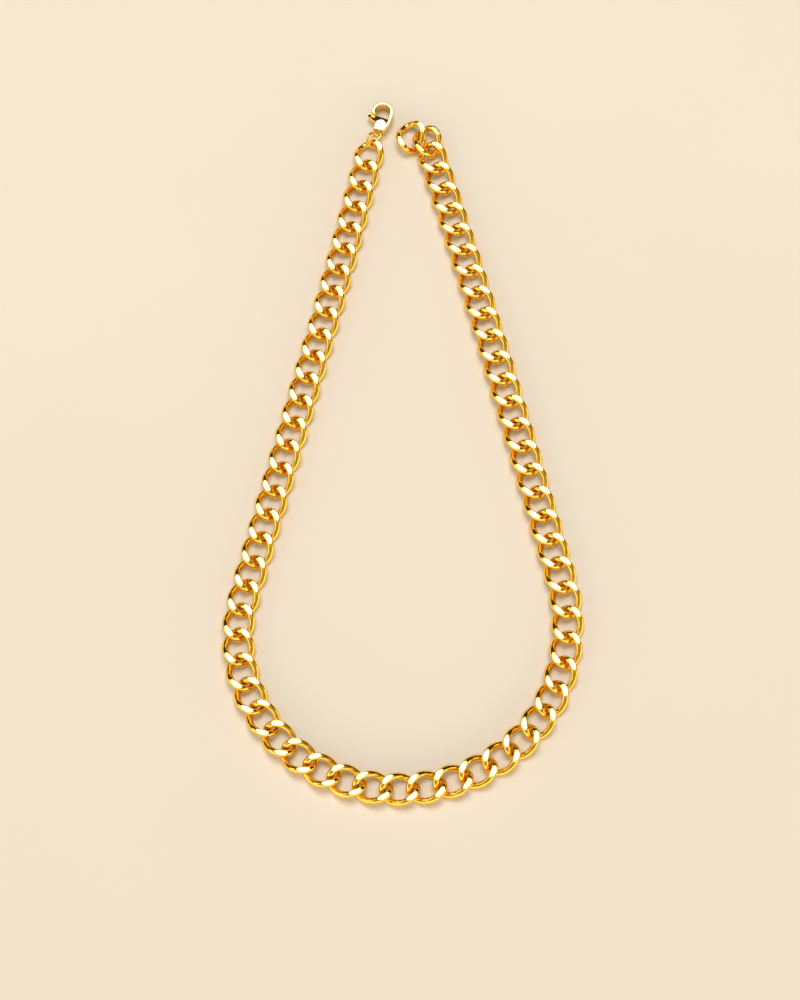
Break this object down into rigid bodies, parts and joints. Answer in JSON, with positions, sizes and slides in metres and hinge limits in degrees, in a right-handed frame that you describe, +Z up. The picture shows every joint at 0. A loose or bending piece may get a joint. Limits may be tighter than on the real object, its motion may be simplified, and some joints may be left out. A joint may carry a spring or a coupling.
{
  "type": "chain necklace",
  "caption": "Gold-tone curb chain necklace of twisted oval links with ground flats, laid out in an open drop, with a lobster clasp on a jump ring and a plain link at the other end.",
  "frame": {"origin": "centre of the bounding box on the table plane, under the flat undersides of the links", "axes": "+Z up from the table, +Y from the bottom of the drop towards the two ends of the chain, +X to the free end's side"},
  "size_m": [0.0936, 0.204, 0.0042],
  "materials": {
    "gold_plate": "polished yellow gold plating with mirror-bright ground flats",
    "spring_wire": "plain drawn spring wire, hidden inside the clasp"
  },
  "bodies": {
    "link_01": {"link_01": "gold_plate"},
    "link_02": {"link_02": "gold_plate"},
    "links_03_04": {"links_03_04": "gold_plate"},
    "link_05": {"link_05": "gold_plate"},
    "link_06": {"link_06": "gold_plate"},
    "links_07_08": {"links_07_08": "gold_plate"},
    "link_09": {"link_09": "gold_plate"},
    "link_10": {"link_10": "gold_plate"},
    "links_11_12": {"links_11_12": "gold_plate"},
    "link_13": {"link_13": "gold_plate"},
    "link_14": {"link_14": "gold_plate"},
    "links_15_16": {"links_15_16": "gold_plate"},
    "link_17": {"link_17": "gold_plate"},
    "link_18": {"link_18": "gold_plate"},
    "links_19_20": {"links_19_20": "gold_plate"},
    "link_21": {"link_21": "gold_plate"},
    "link_22": {"link_22": "gold_plate"},
    "link_23": {"link_23": "gold_plate"},
    "link_24": {"link_24": "gold_plate"},
    "link_25": {"link_25": "gold_plate"},
    "link_26": {"link_26": "gold_plate"},
    "link_27": {"link_27": "gold_plate"},
    "link_28": {"link_28": "gold_plate"},
    "link_29": {"link_29": "gold_plate"},
    "link_30": {"link_30": "gold_plate"},
    "link_31": {"link_31": "gold_plate"},
    "link_32": {"link_32": "gold_plate"},
    "link_33": {"link_33": "gold_plate"},
    "link_34": {"link_34": "gold_plate"},
    "link_35": {"link_35": "gold_plate"},
    "link_36": {"link_36": "gold_plate"},
    "link_37": {"link_37": "gold_plate"},
    "link_38": {"link_38": "gold_plate"},
    "link_39": {"link_39": "gold_plate"},
    "link_40": {"link_40": "gold_plate"},
    "link_41": {"link_41": "gold_plate"},
    "link_42": {"link_42": "gold_plate"},
    "link_43": {"link_43": "gold_plate"},
    "links_44_45": {"links_44_45": "gold_plate"},
    "link_46": {"link_46": "gold_plate"},
    "link_47": {"link_47": "gold_plate"},
    "links_48_49": {"links_48_49": "gold_plate"},
    "link_50": {"link_50": "gold_plate"},
    "link_51": {"link_51": "gold_plate"},
    "links_52_53": {"links_52_53": "gold_plate"},
    "link_54": {"link_54": "gold_plate"},
    "link_55": {"link_55": "gold_plate"},
    "links_56_57": {"links_56_57": "gold_plate"},
    "link_58": {"link_58": "gold_plate"},
    "link_59": {"link_59": "gold_plate"},
    "links_60_61": {"links_60_61": "gold_plate"},
    "link_62": {"link_62": "gold_plate"},
    "link_63": {"link_63": "gold_plate"},
    "link_64": {"link_64": "gold_plate"},
    "link_65": {"link_65": "gold_plate"},
    "jump_ring": {"jump_ring": "gold_plate"},
    "clasp": {"clasp_body": "gold_plate", "clasp_rivet": "gold_plate", "lever_spring": "spring_wire"},
    "clasp_lever": {"clasp_lever": "gold_plate"}
  },
  "joints": [
    {"name": "fold_32_33", "type": "hinge", "parent": "link_32", "child": "link_33", "pos_m": [0.00255, -0.09765, 0.00175], "axis": [-0.0863, 0.9963, 0], "range_deg": [-30, 30]},
    {"name": "fold_33_34", "type": "hinge", "parent": "link_33", "child": "link_34", "pos_m": [0.00926, -0.09657, 0.00175], "axis": [0.2326, -0.9726, 0], "range_deg": [-30, 30]},
    {"name": "fold_34_35", "type": "hinge", "parent": "link_34", "child": "link_35", "pos_m": [0.01574, -0.0945, 0.00175], "axis": [-0.3738, 0.9275, 0], "range_deg": [-30, 30]},
    {"name": "fold_35_36", "type": "hinge", "parent": "link_35", "child": "link_36", "pos_m": [0.02184, -0.0915, 0.00175], "axis": [0.5068, -0.8621, 0], "range_deg": [-30, 30]},
    {"name": "fold_36_37", "type": "hinge", "parent": "link_36", "child": "link_37", "pos_m": [0.02743, -0.08763, 0.00175], "axis": [-0.6361, 0.7716, 0], "range_deg": [-30, 30]},
    {"name": "fold_37_38", "type": "hinge", "parent": "link_37", "child": "link_38", "pos_m": [0.03229, -0.08288, 0.00175], "axis": [0.7559, -0.6547, 0], "range_deg": [-30, 30]},
    {"name": "fold_38_39", "type": "hinge", "parent": "link_38", "child": "link_39", "pos_m": [0.0363, -0.07738, 0.00175], "axis": [-0.8545, 0.5195, 0], "range_deg": [-30, 30]},
    {"name": "fold_39_40", "type": "hinge", "parent": "link_39", "child": "link_40", "pos_m": [0.03934, -0.0713, 0.00175], "axis": [0.9291, -0.3697, 0], "range_deg": [-30, 30]},
    {"name": "fold_40_41", "type": "hinge", "parent": "link_40", "child": "link_41", "pos_m": [0.04131, -0.06479, 0.00175], "axis": [-0.9742, 0.2258, 0], "range_deg": [-30, 30]},
    {"name": "fold_41_42", "type": "hinge", "parent": "link_41", "child": "link_42", "pos_m": [0.0424, -0.05808, 0.00175], "axis": [0.9956, -0.0932, 0], "range_deg": [-30, 30]},
    {"name": "fold_42_43", "type": "hinge", "parent": "link_42", "child": "link_43", "pos_m": [0.04258, -0.05128, 0.00175], "axis": [-0.9992, -0.041, 0], "range_deg": [-30, 30]},
    {"name": "fold_43_44", "type": "hinge", "parent": "link_43", "child": "links_44_45", "pos_m": [0.04184, -0.04452, 0.00175], "axis": [0.9847, 0.1745, 0], "range_deg": [-30, 30]},
    {"name": "fold_45_46", "type": "hinge", "parent": "links_44_45", "child": "link_46", "pos_m": [0.03858, -0.03132, 0.00175], "axis": [-0.9707, -0.2402, 0], "range_deg": [-30, 30]},
    {"name": "fold_46_47", "type": "hinge", "parent": "link_46", "child": "link_47", "pos_m": [0.03694, -0.02472, 0.00175], "axis": [0.9707, 0.2402, 0], "range_deg": [-30, 30]},
    {"name": "fold_47_48", "type": "hinge", "parent": "link_47", "child": "links_48_49", "pos_m": [0.03531, -0.01812, 0.00175], "axis": [-0.9707, -0.2402, 0], "range_deg": [-30, 30]},
    {"name": "fold_49_50", "type": "hinge", "parent": "links_48_49", "child": "link_50", "pos_m": [0.03204, -0.00492, 0.00175], "axis": [0.9707, 0.2402, 0], "range_deg": [-30, 30]},
    {"name": "fold_50_51", "type": "hinge", "parent": "link_50", "child": "link_51", "pos_m": [0.03041, 0.00169, 0.00175], "axis": [-0.9707, -0.2402, 0], "range_deg": [-30, 30]},
    {"name": "fold_51_52", "type": "hinge", "parent": "link_51", "child": "links_52_53", "pos_m": [0.02877, 0.00829, 0.00175], "axis": [0.9707, 0.2402, 0], "range_deg": [-30, 30]},
    {"name": "fold_53_54", "type": "hinge", "parent": "links_52_53", "child": "link_54", "pos_m": [0.02548, 0.02148, 0.00175], "axis": [-0.9694, -0.2453, 0], "range_deg": [-30, 30]},
    {"name": "fold_54_55", "type": "hinge", "parent": "link_54", "child": "link_55", "pos_m": [0.0238, 0.02807, 0.00175], "axis": [0.9686, 0.2487, 0], "range_deg": [-30, 30]},
    {"name": "fold_55_56", "type": "hinge", "parent": "link_55", "child": "links_56_57", "pos_m": [0.0221, 0.03466, 0.00175], "axis": [-0.9677, -0.2521, 0], "range_deg": [-30, 30]},
    {"name": "fold_57_58", "type": "hinge", "parent": "links_56_57", "child": "link_58", "pos_m": [0.01863, 0.0478, 0.00175], "axis": [0.9659, 0.2588, 0], "range_deg": [-30, 30]},
    {"name": "fold_58_59", "type": "hinge", "parent": "link_58", "child": "link_59", "pos_m": [0.01686, 0.05437, 0.00175], "axis": [-0.965, -0.2622, 0], "range_deg": [-30, 30]},
    {"name": "fold_59_60", "type": "hinge", "parent": "link_59", "child": "links_60_61", "pos_m": [0.01506, 0.06093, 0.00175], "axis": [0.9641, 0.2656, 0], "range_deg": [-30, 30]},
    {"name": "fold_61_62", "type": "hinge", "parent": "links_60_61", "child": "link_62", "pos_m": [0.01141, 0.07403, 0.00175], "axis": [-0.9622, -0.2723, 0], "range_deg": [-30, 30]},
    {"name": "fold_62_63", "type": "hinge", "parent": "link_62", "child": "link_63", "pos_m": [0.00954, 0.08057, 0.00175], "axis": [0.9613, 0.2756, 0], "range_deg": [-30, 30]},
    {"name": "fold_31_32", "type": "hinge", "parent": "link_32", "child": "link_31", "pos_m": [-0.00425, -0.09774, 0.00175], "axis": [-0.0698, -0.9976, 0], "range_deg": [-30, 30]},
    {"name": "fold_30_31", "type": "hinge", "parent": "link_31", "child": "link_30", "pos_m": [-0.01098, -0.09671, 0.00175], "axis": [0.2317, 0.9728, 0], "range_deg": [-30, 30]},
    {"name": "fold_29_30", "type": "hinge", "parent": "link_30", "child": "link_29", "pos_m": [-0.01744, -0.0946, 0.00175], "axis": [-0.3875, -0.9219, 0], "range_deg": [-30, 30]},
    {"name": "fold_28_29", "type": "hinge", "parent": "link_29", "child": "link_28", "pos_m": [-0.02347, -0.09146, 0.00175], "axis": [0.5329, 0.8462, 0], "range_deg": [-30, 30]},
    {"name": "fold_27_28", "type": "hinge", "parent": "link_28", "child": "link_27", "pos_m": [-0.02891, -0.08737, 0.00175], "axis": [-0.6639, -0.7478, 0], "range_deg": [-30, 30]},
    {"name": "fold_26_27", "type": "hinge", "parent": "link_27", "child": "link_26", "pos_m": [-0.03361, -0.08246, 0.00175], "axis": [0.7771, 0.6293, 0], "range_deg": [-30, 30]},
    {"name": "fold_25_26", "type": "hinge", "parent": "link_26", "child": "link_25", "pos_m": [-0.03744, -0.07684, 0.00175], "axis": [-0.8695, -0.4939, 0], "range_deg": [-30, 30]},
    {"name": "fold_24_25", "type": "hinge", "parent": "link_25", "child": "link_24", "pos_m": [-0.0403, -0.07067, 0.00175], "axis": [0.9394, 0.3428, 0], "range_deg": [-30, 30]},
    {"name": "fold_23_24", "type": "hinge", "parent": "link_24", "child": "link_23", "pos_m": [-0.04208, -0.06411, 0.00175], "axis": [-0.9837, -0.1797, 0], "range_deg": [-30, 30]},
    {"name": "fold_22_23", "type": "hinge", "parent": "link_23", "child": "link_22", "pos_m": [-0.04274, -0.05734, 0.00175], "axis": [0.9999, 0.0113, 0], "range_deg": [-30, 30]},
    {"name": "fold_21_22", "type": "hinge", "parent": "link_22", "child": "link_21", "pos_m": [-0.04224, -0.05056, 0.00175], "axis": [-0.9876, 0.1573, 0], "range_deg": [-30, 30]},
    {"name": "fold_20_21", "type": "hinge", "parent": "link_21", "child": "links_19_20", "pos_m": [-0.0406, -0.04396, 0.00175], "axis": [0.9707, -0.2402, 0], "range_deg": [-30, 30]},
    {"name": "fold_18_19", "type": "hinge", "parent": "links_19_20", "child": "link_18", "pos_m": [-0.03734, -0.03076, 0.00175], "axis": [-0.9707, 0.2402, 0], "range_deg": [-30, 30]},
    {"name": "fold_17_18", "type": "hinge", "parent": "link_18", "child": "link_17", "pos_m": [-0.0357, -0.02416, 0.00175], "axis": [0.9707, -0.2402, 0], "range_deg": [-30, 30]},
    {"name": "fold_16_17", "type": "hinge", "parent": "link_17", "child": "links_15_16", "pos_m": [-0.03407, -0.01756, 0.00175], "axis": [-0.9707, 0.2402, 0], "range_deg": [-30, 30]},
    {"name": "fold_14_15", "type": "hinge", "parent": "links_15_16", "child": "link_14", "pos_m": [-0.0308, -0.00435, 0.00175], "axis": [0.9707, -0.2402, 0], "range_deg": [-30, 30]},
    {"name": "fold_13_14", "type": "hinge", "parent": "link_14", "child": "link_13", "pos_m": [-0.02917, 0.00225, 0.00175], "axis": [-0.9707, 0.2402, 0], "range_deg": [-30, 30]},
    {"name": "fold_12_13", "type": "hinge", "parent": "link_13", "child": "links_11_12", "pos_m": [-0.02754, 0.00885, 0.00175], "axis": [0.9707, -0.2402, 0], "range_deg": [-30, 30]},
    {"name": "fold_10_11", "type": "hinge", "parent": "links_11_12", "child": "link_10", "pos_m": [-0.02427, 0.02205, 0.00175], "axis": [-0.9707, 0.2402, 0], "range_deg": [-30, 30]},
    {"name": "fold_09_10", "type": "hinge", "parent": "link_10", "child": "link_09", "pos_m": [-0.02264, 0.02865, 0.00175], "axis": [0.9711, -0.2385, 0], "range_deg": [-30, 30]},
    {"name": "fold_08_09", "type": "hinge", "parent": "link_09", "child": "links_07_08", "pos_m": [-0.02103, 0.03526, 0.00175], "axis": [-0.972, 0.2351, 0], "range_deg": [-30, 30]},
    {"name": "fold_06_07", "type": "hinge", "parent": "links_07_08", "child": "link_06", "pos_m": [-0.01787, 0.04849, 0.00175], "axis": [0.9736, -0.2284, 0], "range_deg": [-30, 30]},
    {"name": "fold_05_06", "type": "hinge", "parent": "link_06", "child": "link_05", "pos_m": [-0.01633, 0.05511, 0.00175], "axis": [-0.9744, 0.225, 0], "range_deg": [-30, 30]},
    {"name": "fold_04_05", "type": "hinge", "parent": "link_05", "child": "links_03_04", "pos_m": [-0.01481, 0.06174, 0.00175], "axis": [0.9751, -0.2215, 0], "range_deg": [-30, 30]},
    {"name": "fold_02_03", "type": "hinge", "parent": "links_03_04", "child": "link_02", "pos_m": [-0.01185, 0.07501, 0.00175], "axis": [-0.9767, 0.2147, 0], "range_deg": [-30, 30]},
    {"name": "fold_01_02", "type": "hinge", "parent": "link_02", "child": "link_01", "pos_m": [-0.0104, 0.08166, 0.00175], "axis": [0.9774, -0.2113, 0], "range_deg": [-30, 30]},
    {"name": "swing_63_64", "type": "hinge", "parent": "link_63", "child": "link_64", "pos_m": [0.00694, 0.08492, 0.00219], "axis": [-0.6341, 0.0464, 0.7719], "range_deg": [0, 45]},
    {"name": "flip_64_65", "type": "hinge", "parent": "link_64", "child": "link_65", "pos_m": [0.00565, 0.09013, 0.0018], "axis": [0.9687, -0.2382, -0.0697], "range_deg": [0, 45]},
    {"name": "ring_on_first_link", "type": "hinge", "parent": "link_01", "child": "jump_ring", "pos_m": [-0.00876, 0.08932, 0.00175], "axis": [0.6914, -0.1482, 0.7071], "range_deg": [-30, 30]},
    {"name": "clasp_on_ring", "type": "hinge", "parent": "jump_ring", "child": "clasp", "pos_m": [-0.00759, 0.0917, 0.00155], "axis": [0, 0, 1], "range_deg": [-30, 30]},
    {"name": "lever_on_rivet", "type": "hinge", "parent": "clasp", "child": "clasp_lever", "pos_m": [-0.00636, 0.09455, 0.00155], "axis": [0, 0, 1], "range_deg": [0, 28], "stiffness_Nm_per_rad": 0.004, "springref_deg": -8.59, "deforming": ["lever_spring"]}
  ]
}
